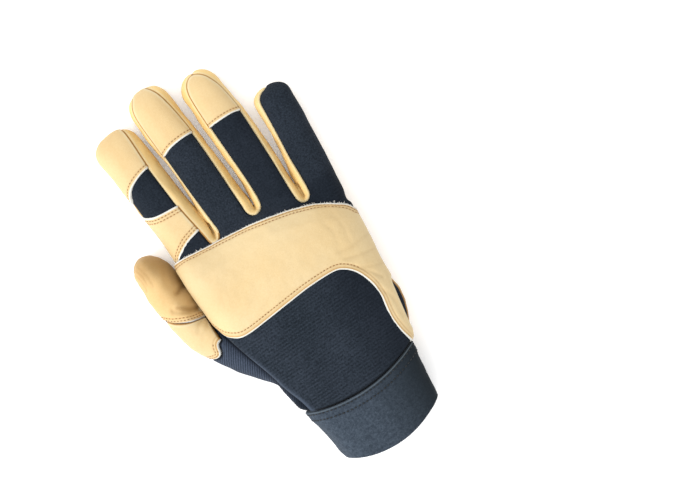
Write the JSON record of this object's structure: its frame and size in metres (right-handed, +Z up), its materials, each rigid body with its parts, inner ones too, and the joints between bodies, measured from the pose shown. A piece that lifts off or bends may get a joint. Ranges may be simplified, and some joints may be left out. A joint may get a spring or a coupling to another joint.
{
  "type": "work glove",
  "caption": "Right-hand work glove lying palm down: leather palm, finger sides, caps and knuckle strap on a navy knit back, with a soft wrist cuff closed by a tab.",
  "frame": {"origin": "underside of the heel patch of the palm, at the height where the glove rests, near the middle of the palm", "axes": "+X from the thumb side to the little-finger side, +Y from the wrist to the fingertips, +Z up from the palm to the back of the hand"},
  "size_m": [0.1415, 0.2615, 0.0394],
  "materials": {
    "grain_leather": "soft golden grain leather with a low sheen",
    "patch_leather": "soft golden grain leather, double stitched, with a pale cut edge",
    "navy_knit": "matt dark navy stretch knit",
    "rib_knit": "matt blue-grey ribbed stretch knit",
    "cuff_fabric": "matt dark blue-grey padded fabric with a napped face",
    "loop_tab": "matt fuzzy hook-and-loop fabric"
  },
  "bodies": {
    "root": {"palm_leather": "grain_leather", "back_panel": "navy_knit", "side_strip_index_middle": "grain_leather", "side_strip_middle_ring": "grain_leather", "side_strip_ring_little": "grain_leather", "tip_cap_index": "grain_leather", "tip_cap_middle": "grain_leather", "tip_cap_ring": "grain_leather", "index_patch": "grain_leather", "knuckle_strap": "grain_leather", "thumb_leather_upper": "grain_leather", "thumb_leather_lower": "grain_leather", "thumb_knit_strip": "rib_knit", "palm_patch_upper": "patch_leather", "palm_patch_heel": "patch_leather", "wrist_cuff": "cuff_fabric", "closure_tab": "loop_tab"}
  },
  "joints": []
}
